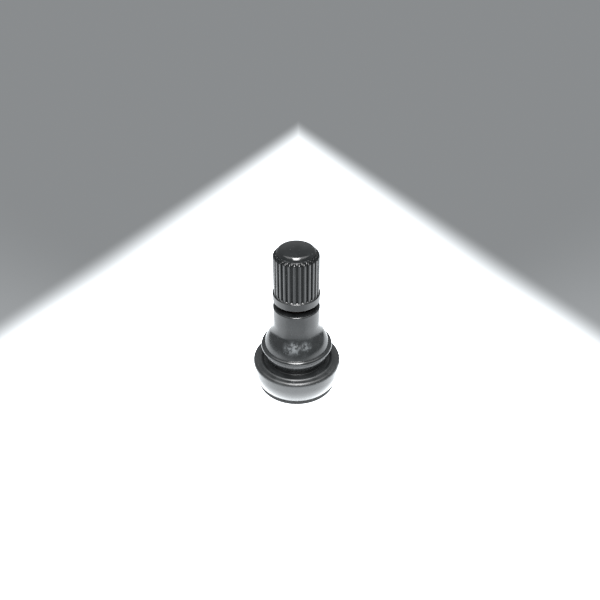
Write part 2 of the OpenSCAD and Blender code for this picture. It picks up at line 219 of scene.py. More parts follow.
class RubberSizes(bpy.types.PropertyGroup):
    """Sizes of the moulded rubber body"""
    foot_round: size("Foot rounding", "Edge radius of the foot", 0.6)
    side_height: size("Side height", "Height up to which the side bulges out", 4.5)
    side_round: size("Side rounding", "Radius of the bulging side", 7.0)
    base_height: size("Base height", "Height of the sealing lip", 6.7)
    lip_round: size("Lip rounding", "Edge radius of the sealing lip", 0.7)
    lip_width: size("Lip width", "Width of the flat ring outside the bead", 0.5)
    bead_width: size("Bead width", "Width of the sealing bead on the lip", 0.8)
    bead_height: size("Bead height", "Height of the bead above the lip", 0.2)
    dish_depth: size("Dish depth", "Depth of the ring between bead and groove", 0.3)
    dish_round: size("Dish rounding", "Rounding at the foot of the bead, inside", 0.25)
    groove_radius: size("Groove radius", "Radius of the groove for the wheel rim", 6.15)
    groove_height: size("Groove height", "Height of the groove", 3.25)
    groove_fillet: size("Groove fillet", "Fillet in the lower corner of the groove", 0.15)
    flank_height: size("Flank height", "Height of the upright flank under the rim", 0.55)
    flank_round: size("Flank rounding", "Radius over which the flank turns in to the groove", 2.2)
    rim_under: size("Rim underside", "Edge radius under the rim", 0.45)
    rim_radius: size("Rim radius", "Widest radius of the bulb, at its rim", 7.8)
    rim_height: size("Rim height", "Height of the rim, from its underside to its ledge", 1.0)
    rim_round: size("Ledge rounding", "Edge radius of the ledge", 0.5)
    ledge_width: size("Ledge width", "From the rim in to the foot of the flare", 0.7)
    flare_round: size("Flare rounding", "Radius from the flare to the neck", 4.4)
    neck_radius: size("Neck radius", "Radius of the neck", 5.0)
    neck_height: size("Neck height", "Length of the straight neck", 4.374)
    neck_round: size("Neck rounding", "Edge radius at the top of the neck", 0.28)
    air_hole_radius: size("Air hole", "Radius of the air hole in the base", 2.4)
    air_hole_chamfer: size("Air hole chamfer", "Chamfer at the mouth of the air hole", 0.8)
    foot_lean: slant("Flare foot", "Lean of the flare from the upright at its foot", 13.3)
    flare_lean: slant("Flare lean", "Largest lean of the flare from the upright", 34)


class StemSizes(bpy.types.PropertyGroup):
    """Sizes of the brass stem and its threads"""
    thread_radius: size("Cap thread", "Crest radius of the cap thread", 3.85)
    thread_pitch: size("Cap thread pitch", "Rise of the cap thread in one turn", 0.79375)
    thread_depth: size("Cap thread depth", "Height of the cap thread", 0.42)
    thread_chamfer: size("Thread chamfer", "Chamfer at both ends of the thread", 0.5)
    thread_start: size("Thread start", "How far the thread runs into its lower chamfer", 0.1)
    thread_end: size("Thread end", "How far the thread runs into its upper chamfer", 0.3)
    relief_length: size("Relief", "Plain length between rubber and thread", 1.0)
    shank_radius: size("Shank", "Radius of the shank in the rubber", 3.25)
    ring_depth: size("Grip ring height", "Height of a grip ring on the shank", 0.3)
    ring_width: size("Grip ring width", "Width of a grip ring at its root", 0.8)
    foot_height: size("Foot thickness", "Thickness of the flared foot", 0.9)
    foot_bevel: size("Foot bevel", "Bevel of the bore at the foot, twice as high as wide", 0.3)
    bore_radius: size("Core thread", "Radius of the core thread", 2.6)
    core_pitch: size("Core thread pitch", "Rise of the core thread in one turn", 0.70556)
    core_depth: size("Core thread depth", "Height of the core thread", 0.34)
    core_room: size("Core room", "Room under the core's head", 0.3)
    cone_radius: size("Cone", "Radius at the top of the cone that the core's seal sits on", 2.24)
    cone_step: size("Cone step", "Slope of the step down from the core thread", 0.15)
    seat_radius: size("Lower bore", "Radius of the bore below the seal's seat", 1.89)
    mouth_chamfer: size("Mouth chamfer", "Chamfer at the mouth of the bore", 0.2)
    # Painted shade on the stem in the gap under the cap: the length over which it thins out above the cap's
    # mouth
    gap_shade_length: size("Soil", "Length over which the dark film thins out above the cap's mouth", 1.5)
    grip_rings: number("Grip rings", "Rings on the shank inside the rubber", 5, 0)


class CoreSizes(bpy.types.PropertyGroup):
    """Sizes of the valve core"""
    bridge_width: size("Bridge width", "Width of the head's bridge across its flats", 2.2)
    bridge_height: size("Bridge height", "Height of the head's bridge", 0.9)
    bridge_round: size("Bridge rounding", "Edge radius of the head's bridge", 0.15)
    thread_length: size("Head length", "Length of the head's thread", 3.4)
    swivel_radius: size("Swivel neck", "Radius of the neck that the barrel hangs on", 1.3)
    swivel_flange: size("Swivel flange", "Radius of the flange under that neck", 1.6)
    flange_height: size("Flange height", "Thickness of that flange", 0.5)
    air_way: size("Air way", "Radius of the air way through the head", 0.95)
    head_bore: size("Head bore", "Radius of the open bore under the bridge", 1.7)
    head_bore_depth: size("Head bore depth", "Depth of that bore", 1.2)
    barrel_radius: size("Barrel", "Radius of the barrel", 1.65)
    chamber_radius: size("Chamber", "Radius of the spring chamber", 1.25)
    nose_hole: size("Nose hole", "Radius of the air hole in the nose", 0.85)
    nose_ring: size("Nose ring", "Width of the ring that the washer shuts on", 0.35)
    nose_height: size("Nose height", "Height of the barrel's nose", 1.0)
    seal_groove: size("Seal groove", "Depth of the groove under the barrel's seal", 0.1)
    seal_taper: size("Seal taper", "How much narrower the seal is at its foot", 0.26)
    collar_wall: size("Collar wall", "Wall of the collar round the swivel", 0.3)
    pin_radius: size("Pin", "Radius of the pin", 0.6)
    pin_collar: size("Pin collar", "Thickness of the pin's collar", 0.6)
    rivet_radius: size("Rivet", "Radius of the pin's riveted foot", 0.9)
    rivet_height: size("Rivet height", "Height of the pin's riveted foot", 0.4)
    rivet_round: size("Rivet rounding", "Edge radius under the pin's riveted foot", 0.25)
    wire_radius: size("Spring wire", "Radius of the spring's wire", 0.13)
    coil_radius: size("Spring coil", "Radius of the coil at the wire's middle", 0.925)
    cup_wall: size("Cup wall", "Wall of the cup", 0.3)
    running_gap: size("Running gap", "Radial clearance of sliding pieces", 0.05)
    spring_turns: number("Spring turns", "Turns of the spring", 9, 1)


class CapSizes(bpy.types.PropertyGroup):
    """Sizes of the ribbed cap"""
    bore_radius: size("Bore", "Radius of the threaded bore", 3.9)
    bore_stop: size("Bore end", "How far below the stem's tip the bore starts to narrow", 0.47)
    mouth_chamfer: size("Mouth chamfer", "Chamfer at the mouth of the bore", 0.25)
    thread_start: size("Thread start", "Height of the thread's start above the mouth", 1.6)
    thread_end: size("Thread end", "How far below the stem's tip the thread ends", 0.4)
    rib_radius: size("Ribs", "Radius over the ribs at the band", 4.78)
    rib_draft: size("Draft", "How much the ribs narrow towards the top", 0.05)
    rib_depth: size("Rib height", "Height of the ribs above their roots", 0.34)
    rib_gap: size("Groove width", "Width of one groove between the ribs", 0.48)
    rib_soft: size("Groove edge", "Width over which a groove's edge is rounded", 0.14)
    band_height: size("Band", "Height of the plain band at the mouth", 1.7)
    band_round: size("Band rounding", "Edge radius of the band", 0.15)
    band_step: size("Band step", "Rise from the band to the foot of the ribs", 0.02)
    shoulder_drop: size("Shoulder drop", "Drop of the shoulder's sloping edge", 0.35)
    shoulder_round: size("Shoulder rounding", "Radius below the shoulder's sloping edge", 0.3)
    shoulder_height: size("Shoulder", "Height of the shoulder above the mouth", 10.93)
    crown_radius: size("Crown", "Radius of the raised crown", 4.0)
    crown_edge: size("Crown edge", "Upright edge of the crown", 0.12)
    crown_round: size("Crown rounding", "Radius of the crown's edge", 0.95)
    recess_radius: size("Washer recess", "Radius of the recess for the washer", 3.1)
    washer_hole: size("Washer hole", "Radius of the hole in the washer", 1.1)
    ribs: number("Ribs", "Number of ribs", 28, 3)
    rib_turn: slant("Rib turn", "Turn of the grooves from the front", 2)
    crown_slope: slant("Crown slope", "Slope where the crown's edge meets its top", 14)


class FinishColours(bpy.types.PropertyGroup):
    """Colours of the finishes"""
    rubber: tint("Rubber", "Moulded rubber of the body", (0.0095, 0.0105, 0.011))
    dust: tint("Dust", "Pale dust lying on rubber and plastic", (0.21, 0.225, 0.235))
    plastic: tint("Plastic", "Moulded plastic of the cap", (0.0035, 0.0042, 0.0045))
    brass: tint("Brass", "Turned brass of the stem and core", (0.60, 0.43, 0.17))
    tarnish: tint("Tarnish", "Dull film on the brass", (0.20, 0.125, 0.05))
    # Painted shade: the colour that the stem is darkened to in the gap between rubber and cap
    gap_shade: tint("Soil", "Dark film on the stem beside the rubber", (0.030, 0.019, 0.015))
    steel: tint("Steel", "Drawn steel of pin and spring", (0.55, 0.56, 0.58))
    washer: tint("Washer", "Matt rubber of the washers", (0.030, 0.029, 0.028))
    ptfe: tint("Barrel seal", "Off-white seal of the barrel", (0.72, 0.70, 0.62))


class StageSettings(bpy.types.PropertyGroup):
    """Camera, floor and lights"""
    camera_distance: size("Camera distance", "From the lens to the point it looks at", 126.2)
    aim_height: size("Aim height", "Height of the point that the camera looks at", 21.95)
    aim_side: size("Aim offset", "How far right of the axis the camera looks", 0.75)
    camera_tilt: slant("Camera tilt", "How far down the camera looks", 35.3)
    focal: amount("Focal length", "Focal length in millimetres", 36.0, 1.0)
    sensor: amount("Sensor", "Width of the camera's sensor in millimetres", 36.0, 1.0)
    clip: size("Nearest", "Nearest distance that the camera sees", 5.0)
    floor: amount("Floor", "Brightness of the floor round the object", 2.9)
    floor_aside: amount("Floor aside", "Brightness of the floor far to the sides and back", 0.35)
    aside_inner: size("Aside from", "Distance beside the object where the floor starts to darken", 64.0)
    aside_outer: size("Aside to", "Distance beside the object where the floor has darkened", 90.0)
    aside_lean: amount("Aside lean", "How much sooner the floor darkens further back", 0.5)
    back_share: amount("Floor behind", "Share of its light that the floor behind the object keeps", 0.75)
    front_share: amount("Floor in front", "Share that the floor towards the camera keeps", 0.65)
    front_low: amount("Front low", "Share that the floor far in front of the object keeps", 0.4)
    front_inner: size("Front from", "Distance in front where the floor starts to darken", 36.0)
    front_outer: size("Front to", "Distance in front where the floor has darkened", 110.0)
    glow: amount("Glow", "Added brightness of the floor round the object", 3.9)
    glow_back: size("Glow centre", "How far behind the object the glow is centred", 5.0)
    glow_inner: size("Glow inside", "Distance from its centre where the glow starts to fade", 15.0)
    glow_outer: size("Glow outside", "Distance from its centre where the glow has faded", 33.0)
    glow_stretch: amount("Glow stretch", "Width of the glow as a share of its depth", 0.7, 0.1)
    shade: amount("Shade", "Share of its light that the floor under the foot keeps", 0.018)
    shade_inner: size("Shade inside", "Radius up to which the floor under the foot is dark", 8.55)
    shade_outer: size("Shade outside", "Radius from which the floor is bright", 9.0)
    sky: amount("Sky", "Brightness of the room above", 0.4)
    lamp_distance: size("Lamp distance", "From both lamps to the object", 300.0)
    panel_width: size("Panel width", "Width of the panel overhead", 450.0)
    panel_depth: size("Panel depth", "Depth of the panel overhead", 220.0)
    panel_height: slant("Panel height", "How high the panel hangs, as an angle", 90)
    panel: amount("Panel power", "Power of the panel overhead, in watts", 0.75)
    lamp_height: slant("Lamp height", "How high the lamp stands in front of the object, as an angle", 67)
    lamp_width: size("Lamp width", "Width of the lamp", 125.0)
    lamp_depth: size("Lamp depth", "Depth of the lamp", 300.0)
    lamp: amount("Lamp power", "Power of the lamp above the camera, in watts", 2.8)


# Node helpers, for geometry and shader trees alike

class Value:
    """An output of a node; arithmetic on it adds nodes to its tree."""

    def __init__(self, socket):
        self.socket = socket
        self.tree = socket.id_data

    def math(self, operation, *others):
        """One step of arithmetic on this value."""
        return node(self.tree, "ShaderNodeMath", dict(enumerate((self, *others))), operation=operation)

    def vector(self, operation, *others, out=0):
        """One step of arithmetic on this vector."""
        inputs = dict(enumerate((self, *others)))
        return node(self.tree, "ShaderNodeVectorMath", inputs, out, operation=operation)

    def length(self):
        """Length of this vector."""
        return self.vector("LENGTH", out="Value")

    def parts(self):
        """The three parts of this vector."""
        return [Value(part) for part in add(self.tree, "ShaderNodeSeparateXYZ", {0: self}).outputs]

    def ramp(self, low, high, to_low=0.0, to_high=1.0):
        """A smooth step of this value from low to high."""
        inputs = {"Value": self, "From Min": low, "From Max": high, "To Min": to_low, "To Max": to_high}
        return node(self.tree, "ShaderNodeMapRange", inputs, "Result",
                    interpolation_type="SMOOTHSTEP", clamp=True)

    def between(self, levels):
        """A value between two levels, by this mask."""
        return self.ramp(0.0, 1.0, *levels)

    def __add__(self, other):
        return self.math("ADD", other)

    def __sub__(self, other):
        return self.math("SUBTRACT", other)

    def __mul__(self, other):
        return self.math("MULTIPLY", other)

    def __truediv__(self, other):
        return self.math("DIVIDE", other)

    def __abs__(self):
        return self.math("ABSOLUTE")


def fill(made, inputs):
    """Links or sets a node's inputs by name or number."""
    for key, value in inputs.items():
        if isinstance(value, Value):
            made.id_data.links.new(value.socket, made.inputs[key])
        else:
            made.inputs[key].default_value = value
    return made


def add(tree, kind, inputs, **settings):
    """Adds a node, applies its settings and fills its inputs."""
    made = tree.nodes.new(kind)
    for name, setting in settings.items():
        setattr(made, name, setting)
    return fill(made, inputs)


def node(tree, kind, inputs, out=0, **settings):
    """Adds a node and gives one of its outputs."""
    return Value(add(tree, kind, inputs, **settings).outputs[out])


def outputs(made):
    """All outputs of a node, by name."""
    return {socket.name: Value(socket) for socket in made.outputs}


def open_group(name, kind, numbers, results):
    """A new node group with numbers going in and results coming out; returns its tree and its inputs."""
    tree = bpy.data.node_groups.new(name, kind)
    sockets = []
    if kind == "GeometryNodeTree":
        sockets = [("Geometry", "INPUT", "NodeSocketGeometry"), ("Geometry", "OUTPUT", "NodeSocketGeometry"),
                   ("Material", "INPUT", "NodeSocketMaterial")]
    sockets += [(label, "INPUT", "NodeSocketFloat") for label in numbers]
    sockets += [(label, "OUTPUT", "NodeSocketFloat") for label in results]
    for label, side, socket in sockets:
        tree.interface.new_socket(name=label, in_out=side, socket_type=socket)
    return tree, outputs(tree.nodes.new("NodeGroupInput"))


def group(name):
    """A node group by its name, made on first use."""
    return bpy.data.node_groups.get(name) or GROUPS[name](name)


def round_coordinates(tree):
    """Direction out from the axis, radius, angle and height of each point."""
    x, y, height = node(tree, "GeometryNodeInputPosition", {}).parts()
    flat = node(tree, "ShaderNodeCombineXYZ", {0: x, 1: y})
    return flat.vector("NORMALIZE"), flat.length(), y.math("ARCTAN2", x), height


def close_group(tree, given, geometry):
    """Ends a geometry tree in Realize Instances and Set Material."""
    real = node(tree, "GeometryNodeRealizeInstances", {0: geometry})
    dressed = node(tree, "GeometryNodeSetMaterial", {"Geometry": real, "Material": given["Material"]})
    add(tree, "NodeGroupOutput", {"Geometry": dressed})
    return tree


def sunk(tree, given, outward, share):
    """The tree's geometry with each point moved in to the axis by a share of the depth."""
    inward = share * given["Depth"] * -1.0
    offset = node(tree, "ShaderNodeVectorMath", {0: outward, "Scale": inward}, operation="SCALE")
    return node(tree, "GeometryNodeSetPosition", {"Geometry": given["Geometry"], "Offset": offset})


def grip_rib_tree(name):
    """Sinks the grooves between the ribs into a turned skin."""
    labels = ("Count", "Groove share", "Edge share", "Depth", "Turn", "Bottom", "Top", "Inner limit")
    tree, given = open_group(name, "GeometryNodeTree", labels, ())
    outward, radius, angle, height = round_coordinates(tree)
    turns = (angle - given["Turn"]) * given["Count"] / FULL_TURN
    from_middle = abs((turns + 0.5).math("FRACT") - 0.5)
    half = given["Groove share"] * 0.5
    groove = from_middle.ramp(half - given["Edge share"], half + given["Edge share"], 1.0, 0.0)
    start = height.ramp(given["Bottom"], given["Bottom"] + GROOVE_RUN_IN)
    end = height.math("LESS_THAN", given["Top"])
    skin = radius.math("GREATER_THAN", given["Inner limit"])
    return close_group(tree, given, sunk(tree, given, outward, groove * (start * end * skin)))


def screw_thread_tree(name):
    """Cuts a right-handed thread into a turned wall of one radius, with run-outs at both ends."""
    tree, given = open_group(name, "GeometryNodeTree", ("Pitch", "Depth", "Radius", "Bottom", "Top"), ())
    outward, radius, angle, height = round_coordinates(tree)
    phase = (height / given["Pitch"] - angle / FULL_TURN).math("FRACT")
    root = (abs(phase - 0.5) * 2.0).ramp(*FLANK, 1.0, 0.0)
    low = height.ramp(given["Bottom"], given["Bottom"] + given["Pitch"])
    high = height.ramp(given["Top"] - given["Pitch"], given["Top"], 1.0, 0.0)
    wall = radius.math("COMPARE", given["Radius"], WALL_TOLERANCE)
    return close_group(tree, given, sunk(tree, given, outward, root * (low * high * wall)))


def coil_spring_tree(name):
    """Sweeps a round wire along a helix that stands on the axis."""
    labels = ("Turns", "Coil radius", "Wire radius", "Bottom", "Length")
    tree, given = open_group(name, "GeometryNodeTree", labels, ())
    thick = given["Wire radius"]
    helix = node(tree, "GeometryNodeCurveSpiral", {
        "Resolution": COIL_POINTS, "Rotations": given["Turns"], "Start Radius": given["Coil radius"],
        "End Radius": given["Coil radius"], "Height": given["Length"] - thick * 2.0, "Reverse": False})
    lift = node(tree, "ShaderNodeCombineXYZ", {2: given["Bottom"] + thick})
    raised = node(tree, "GeometryNodeTransform", {"Geometry": helix, "Translation": lift})
    section = node(tree, "GeometryNodeCurvePrimitiveCircle", {"Resolution": WIRE_POINTS, "Radius": thick})
    swept = node(tree, "GeometryNodeCurveToMesh",
                 {"Curve": raised, "Profile Curve": section, "Fill Caps": True})
    return close_group(tree, given, node(tree, "GeometryNodeSetShadeSmooth", {0: swept}))


def run_tree(piece, name, values):
    """Runs a geometry tree on a piece and keeps the result as its plain mesh."""
    tree = group(name)
    modifier = piece.modifiers.new(name, "NODES")
    modifier.node_group = tree
    for item in tree.interface.items_tree:
        if item.in_out == "INPUT" and item.name in values:
            modifier[item.identifier] = values[item.name]
    evaluated = piece.evaluated_get(bpy.context.evaluated_depsgraph_get())
    mesh = bpy.data.meshes.new_from_object(evaluated)
    piece.modifiers.remove(modifier)
    old = piece.data
    piece.data = mesh
    bpy.data.meshes.remove(old)
    mesh.name = piece.name


# Outlines of turned pieces: points (radius, height), with the axis at radius 0

def arc(centre, radius, start, end, steps=12):
    """Points of an arc in the outline's plane, between two angles in degrees."""
    points = []
    for i in range(steps + 1):
        a = math.radians(start + (end - start) * i / steps)
        points.append((centre[0] + radius * math.cos(a), centre[1] + radius * math.sin(a)))
    return points


def rounded(corners, closed=False, steps=8):
    """An outline through corners (radius, height); one with a third value is rounded by that radius."""
    points = []
    count = len(corners)
    for i, (r, z, *rounding) in enumerate(corners):
        if not any(rounding) or (not closed and i in (0, count - 1)):
            points.append((r, z))
            continue
        here = Vector((r, z))
        before = Vector(corners[i - 1][:2]) - here
        after = Vector(corners[(i + 1) % count][:2]) - here
        half = before.angle(after) / 2
        room = CORNER_SHARE * min(before.length, after.length)
        reach = min(rounding[0] / math.tan(half), room)
        radius = reach * math.tan(half)
        before.normalize()
        after.normalize()
        middle = here + (before + after).normalized() * (radius / math.sin(half))
        first = here + before * reach - middle
        sweep = first.angle_signed(here + after * reach - middle)
        for k in range(steps + 1):
            turn = -sweep * k / steps
            x = first.x * math.cos(turn) - first.y * math.sin(turn)
            y = first.x * math.sin(turn) + first.y * math.cos(turn)
            points.append((middle.x + x, middle.y + y))
    return points


def divided(points, stretch, closed=False):
    """The same outline with its long stretches divided, so that none is longer than stretch."""
    out = []
    for i, (r, z) in enumerate(points):
        out.append((r, z))
        if i == len(points) - 1 and not closed:
            break
        r_next, z_next = points[(i + 1) % len(points)]
        pieces = math.ceil(math.hypot(r_next - r, z_next - z) / stretch)
        for k in range(1, pieces):
            out.append((r + (r_next - r) * k / pieces, z + (z_next - z) * k / pieces))
    return out


def even_angles(count):
    """Angles of a plain turned piece."""
    return [FULL_TURN * i / count for i in range(count)]


def turned(name, outline, angles, closed=False):
    """A turned piece: the outline swept about Z through the angles, with smooth sides."""
    made = bmesh.new()
    rings = []
    for r, z in outline:
        if r < 1e-9:
            rings.append([made.verts.new((0.0, 0.0, z))])
        else:
            rings.append([made.verts.new((r * math.cos(a), r * math.sin(a), z)) for a in angles])
    count = len(angles)
    pairs = list(zip(rings, rings[1:]))
    if closed:
        pairs.append((rings[-1], rings[0]))
    for lower, upper in pairs:
        for i in range(count):
            k = (i + 1) % count
            corners = [ring[j % len(ring)] for ring, j in ((lower, i), (lower, k), (upper, k), (upper, i))]
            made.faces.new(list(dict.fromkeys(corners)))
    bmesh.ops.recalc_face_normals(made, faces=made.faces)
    mesh = bpy.data.meshes.new(name)
    made.to_mesh(mesh)
    made.free()
    mesh.shade_smooth()
    mesh.set_sharp_from_angle(angle=SHARP)
    piece = bpy.data.objects.new(name, mesh)
    bpy.context.scene.collection.objects.link(piece)
    return piece


def turned_ring(name, corners, count, steps=8, stretch=math.inf):
    """A turned piece with a closed outline through corners."""
    outline = divided(rounded(corners, closed=True, steps=steps), stretch, closed=True)
    return turned(name, outline, even_angles(count), closed=True)


def seat(piece, material, node, body):
    """Gives a finished piece its material and its body, and hides the frame node that it stands for."""
    piece.data.materials.clear()
    piece.data.materials.append(material)
    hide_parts(node)
    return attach(piece, body)


# Effects that several finishes share

def object_place(tree):
    """Where a point lies on its piece."""
    return node(tree, "ShaderNodeTexCoord", {}, "Object")


def noise(place, scale, detail, roughness=0.5):
    """Cloudy noise about a place."""
    inputs = {"Vector": place, "Scale": scale, "Detail": detail, "Roughness": roughness}
    return node(place.tree, "ShaderNodeTexNoise", inputs, "Fac")


def grain_group(name):
    """Fine moulding grain and slow waviness, as a height and a roughness variation."""
    labels = ("Fine scale", "Slow scale", "Slow share")
    tree, given = open_group(name, "ShaderNodeTree", labels, ("Height", "Patches"))
    place = object_place(tree)
    fine = noise(place, given["Fine scale"], 2.0)
    slow = noise(place, given["Slow scale"], 3.0)
    height = node(tree, "ShaderNodeMix", {"Factor": given["Slow share"], "A": fine, "B": slow})
    add(tree, "NodeGroupOutput", {"Height": height, "Patches": slow.ramp(0.35, 0.7)})
    return tree


def dust_group(name):
    """Specks and a thin film of dust, as one mask."""
    tree, given = open_group(name, "ShaderNodeTree", ("Film", "Specks", "Speck scale"), ("Mask",))
    place = object_place(tree)
    film = noise(place, 320.0, 6.0, 0.62).ramp(0.38, 0.72) * given["Film"]
    cells = node(tree, "ShaderNodeTexVoronoi", {"Vector": place, "Scale": given["Speck scale"]}, "Distance")
    speck = cells.ramp(0.06, 0.2, 1.0, 0.0) * noise(place, 900.0, 1.0).ramp(0.56, 0.66)
    add(tree, "NodeGroupOutput", {"Mask": film.math("MAXIMUM", speck * given["Specks"])})
    return tree


def turning_group(name):
    """Fine rings that a lathe leaves, as a height and a tarnish mask."""
    tree, given = open_group(name, "ShaderNodeTree", ("Rings per metre",), ("Height", "Film"))
    place = object_place(tree)
    stretch = node(tree, "ShaderNodeCombineXYZ", {0: 60.0, 1: 60.0, 2: given["Rings per metre"]})
    rings = noise(place.vector("MULTIPLY", stretch), 1.0, 3.0)
    add(tree, "NodeGroupOutput", {"Height": rings, "Film": noise(place, 700.0, 5.0).ramp(0.36, 0.68)})
    return tree


GROUPS = {
    "Grip ribs": grip_rib_tree, "Screw thread": screw_thread_tree, "Coil spring": coil_spring_tree,
    "Moulding grain": grain_group, "Dust": dust_group, "Turning marks": turning_group}


def shared(tree, name, inputs):
    """Places a shared effect in a material; returns its outputs by name."""
    made = tree.nodes.new("ShaderNodeGroup")
    made.node_tree = group(name)
    return outputs(fill(made, inputs))


# Finishes

def start_material(name):
    """A node material with its Principled shader; returns material, tree and shader."""
    material = bpy.data.materials.new(name)
    material.use_nodes = True
    return material, material.node_tree, material.node_tree.nodes["Principled BSDF"]


def bump(height, strength, depth):
    """A normal that follows a height."""
    return node(height.tree, "ShaderNodeBump", {"Strength": strength, "Distance": depth, "Height": height})


def mixed(factor, first, second):
    """A colour between two, by a mask."""
    first, second = (c if isinstance(c, Value) else (*c, 1.0) for c in (first, second))
    return node(factor.tree, "ShaderNodeMix", {0: factor, 6: first, 7: second}, 2, data_type="RGBA")


def smudge(place, middle, stretch, scale, low, high):
    """A ragged patch about a point: noise that fades with distance, as a mask."""
    away = place.vector("SUBTRACT", middle).vector("MULTIPLY", stretch).length()
    return away.ramp(0.1, 1.0, 1.0, 0.0) * noise(place, scale, 6.0, 0.65).ramp(low, high)


def rubber_material(colours, lip_z):
    """Semi-gloss black rubber with a fine grain, a duller lip, a film of dust and two pale smudges."""
    material, tree, shader = start_material("body_rubber")
    grain = shared(tree, "Moulding grain", {"Fine scale": 7000.0, "Slow scale": 420.0, "Slow share": 0.55})
    dust = shared(tree, "Dust", {"Film": 0.04, "Specks": 0.35, "Speck scale": 1300.0})
    place = object_place(tree)
    left, right = (smudge(place, *patch) for patch in SMUDGES)
    mask = dust["Mask"].math("MAXIMUM", left.math("MAXIMUM", right) * SMUDGE_STRENGTH)
    from_lip = abs(place.parts()[2] - lip_z)
    rough = grain["Patches"].between(RUBBER_ROUGH) + from_lip.ramp(*LIP_DULL)
    fill(shader, {
        "Base Color": mixed(mask, colours.rubber, colours.dust),
        "Roughness": rough + mask * RUBBER_DUST_ROUGH, "IOR": RUBBER_IOR,
        "Normal": bump(grain["Height"], strength=0.07, depth=GRAIN_DEPTH)})
    return material


def plastic_material(colours, cap):
    """Moulded black plastic of the cap: a little gloss, painted shade in the grooves as less shine, fine
    grain and a few pale specks.
    """
    material, tree, shader = start_material("cap_plastic")
    grain = shared(tree, "Moulding grain", {"Fine scale": 8000.0, "Slow scale": 600.0, "Slow share": 0.4})
    mask = shared(tree, "Dust", {"Film": 0.02, "Specks": 0.3, "Speck scale": 1700.0})["Mask"]
    radius = object_place(tree).vector("MULTIPLY", (1.0, 1.0, 0.0)).length()
    root = cap.rib_radius - cap.rib_depth
    # Painted shade: the grooves between the ribs get less shine, so they look darker
    outside = radius.ramp(cap.crown_radius + GROOVE_SHADE_START, cap.crown_radius + GROOVE_SHADE_FULL)
    groove = outside * radius.ramp(root, root + GROOVE_SHADE_DEPTH, 1.0, 0.0)
    fill(shader, {
        "Base Color": mixed(mask, colours.plastic, colours.dust),
        "Roughness": grain["Patches"].between(PLASTIC_ROUGH) + mask * PLASTIC_DUST_ROUGH,
        "IOR": PLASTIC_IOR, "Specular IOR Level": groove.between(GROOVE_SHADE_SHINE),
        "Normal": bump(grain["Height"], strength=0.12, depth=GRAIN_DEPTH)})
    return material


def brass_material(name, colours, film_share, gap_shade_foot=-1.0, gap_shade_top=0.0):
    """Turned brass under a patchy dull film, with painted shade that is full below one height and thins out
    up to another.
    """
    material, tree, shader = start_material(name)
    marks = shared(tree, "Turning marks", {"Rings per metre": 9000.0})
    film = marks["Film"] * film_share
    # Painted shade: the stem is darkened below the cap's mouth, where shade falls in the gap, and brightens
    # over a short length above it
    gap_shade = object_place(tree).parts()[2].ramp(gap_shade_foot, gap_shade_top, 1.0, 0.0)
    fill(shader, {
        "Base Color": mixed(gap_shade, mixed(film, colours.brass, colours.tarnish), colours.gap_shade),
        "Roughness": film.math("MAXIMUM", gap_shade).between(BRASS_ROUGH), "Metallic": 1.0,
        "Normal": bump(marks["Height"], strength=0.15, depth=MARK_DEPTH)})
    return material


def steel_material(colours):
    """Drawn steel of the pin and the spring."""
    material, tree, shader = start_material("core_steel")
    marks = shared(tree, "Turning marks", {"Rings per metre": 5000.0})
    dull = [channel * STEEL_DULL for channel in colours.steel]
    fill(shader, {
        "Base Color": mixed(marks["Film"], colours.steel, dull),
        "Roughness": marks["Film"].between(STEEL_ROUGH), "Metallic": 1.0,
        "Normal": bump(marks["Height"], strength=0.1, depth=MARK_DEPTH)})
    return material


def washer_material(name, colour, rough):
    """Matt moulded material of a washer or seal."""
    material, tree, shader = start_material(name)
    grain = shared(tree, "Moulding grain", {"Fine scale": 9000.0, "Slow scale": 900.0, "Slow share": 0.3})
    pale = [min(1.0, channel * 1.5 + 0.01) for channel in colour]
    fill(shader, {
        "Base Color": mixed(grain["Patches"], colour, pale),
        "Roughness": grain["Patches"].between(rough),
        "Normal": bump(grain["Height"], strength=0.2, depth=GRAIN_DEPTH)})
    return material


# Rubber body

def shank_corners(stem):
    """Corners of the stem inside the rubber, from its foot to the top of the rubber."""
    shank_z = STEM_FOOT + stem.foot_height
    pitch = (BODY_TOP - shank_z) / (stem.grip_rings + 1)
    crest = stem.shank_radius + stem.ring_depth
    corners = [(STEM_FOOT_RADIUS, STEM_FOOT), (STEM_FOOT_RADIUS, shank_z)]
    for i in range(1, stem.grip_rings + 1):
        z = shank_z + i * pitch - stem.ring_width / 2
        corners += [(stem.shank_radius, z), (crest, z + stem.ring_width / 3),
                    (crest, z + 2 * stem.ring_width / 3), (stem.shank_radius, z + stem.ring_width)]
    return corners


def base_corners(rubber):
    """Corners of the base from the mouth of its air hole, over the lip and bead, to the groove's wall."""
    foot, side, lip = rubber.foot_round, rubber.side_round, rubber.lip_round
    lean = math.asin((rubber.side_height - foot) / (side - foot))
    foot_r = LIP_RADIUS - side + (side - foot) * math.cos(lean)
    lean = math.degrees(lean)
    half = rubber.bead_width / 2
    bead_r = LIP_RADIUS - lip - rubber.lip_width - half
    bead_round = (half ** 2 + rubber.bead_height ** 2) / (2 * rubber.bead_height)
    bead_z = rubber.base_height + rubber.bead_height - bead_round
    bead_lean = math.degrees(math.asin(half / bead_round))
    dish_z = rubber.base_height - rubber.dish_depth
    return [
        (rubber.air_hole_radius + rubber.air_hole_chamfer, 0.0, BLUNT),
        *arc((foot_r, foot), foot, -90, -lean)[:-1],
        *arc((LIP_RADIUS - side, rubber.side_height), side, -lean, 0, 24),
        *arc((LIP_RADIUS - lip, rubber.base_height - lip), lip, 0, 90),
        *arc((bead_r, bead_z), bead_round, 90 - bead_lean, 90 + bead_lean),
        (bead_r - half - rubber.dish_depth, dish_z, rubber.dish_round),
        (rubber.groove_radius, dish_z, rubber.groove_fillet)]


